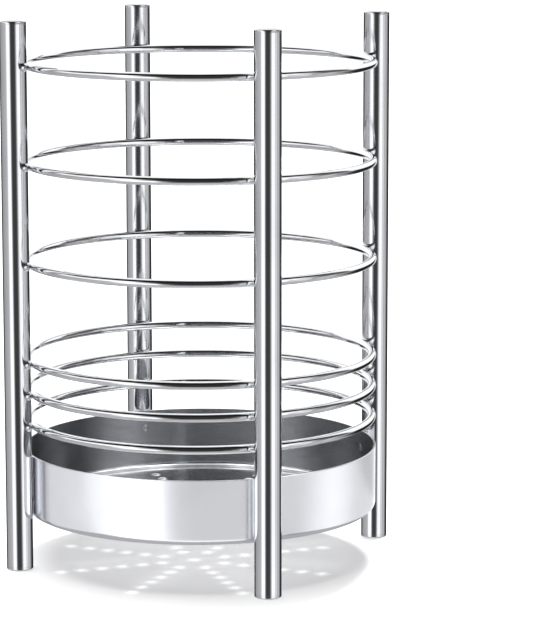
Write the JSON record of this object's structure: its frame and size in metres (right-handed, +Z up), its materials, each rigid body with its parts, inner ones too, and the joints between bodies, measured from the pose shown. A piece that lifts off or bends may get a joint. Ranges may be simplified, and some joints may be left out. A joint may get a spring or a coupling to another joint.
{
  "type": "utensil holder",
  "caption": "Round open basket of polished steel hoops between upright posts, with a raised drain pan at the bottom, for utensils standing upright.",
  "frame": {"origin": "on the counter, in the middle between the four posts, level with the underside of the feet", "axes": "+Z up along the posts; -Y is the front; the posts stand on the diagonals between the X and Y axes"},
  "size_m": [0.127, 0.127, 0.195],
  "materials": {
    "polished_tube": "mirror polished stainless steel tube, very fine lengthwise polishing lines",
    "polished_cap": "polished stainless steel plug, faintly turned end face, rounded edge",
    "polished_wire": "electropolished stainless steel round wire",
    "drawn_sheet": "drawn stainless steel sheet, outside mirror polished, inside satin",
    "weld_metal": "small stainless steel weld beads, polished over"
  },
  "bodies": {
    "root": {"post_front_left": "polished_tube", "post_front_right": "polished_tube", "post_back_left": "polished_tube", "post_back_right": "polished_tube", "top_cap_front_left": "polished_cap", "top_cap_front_right": "polished_cap", "top_cap_back_left": "polished_cap", "top_cap_back_right": "polished_cap", "foot_front_left": "polished_cap", "foot_front_right": "polished_cap", "foot_back_left": "polished_cap", "foot_back_right": "polished_cap", "low_hoop_bottom": "polished_wire", "low_hoop_middle": "polished_wire", "low_hoop_top": "polished_wire", "high_hoop_bottom": "polished_wire", "high_hoop_middle": "polished_wire", "high_hoop_top": "polished_wire", "drain_pan": "drawn_sheet", "hoop_welds": "weld_metal", "pan_welds": "weld_metal"}
  },
  "joints": []
}
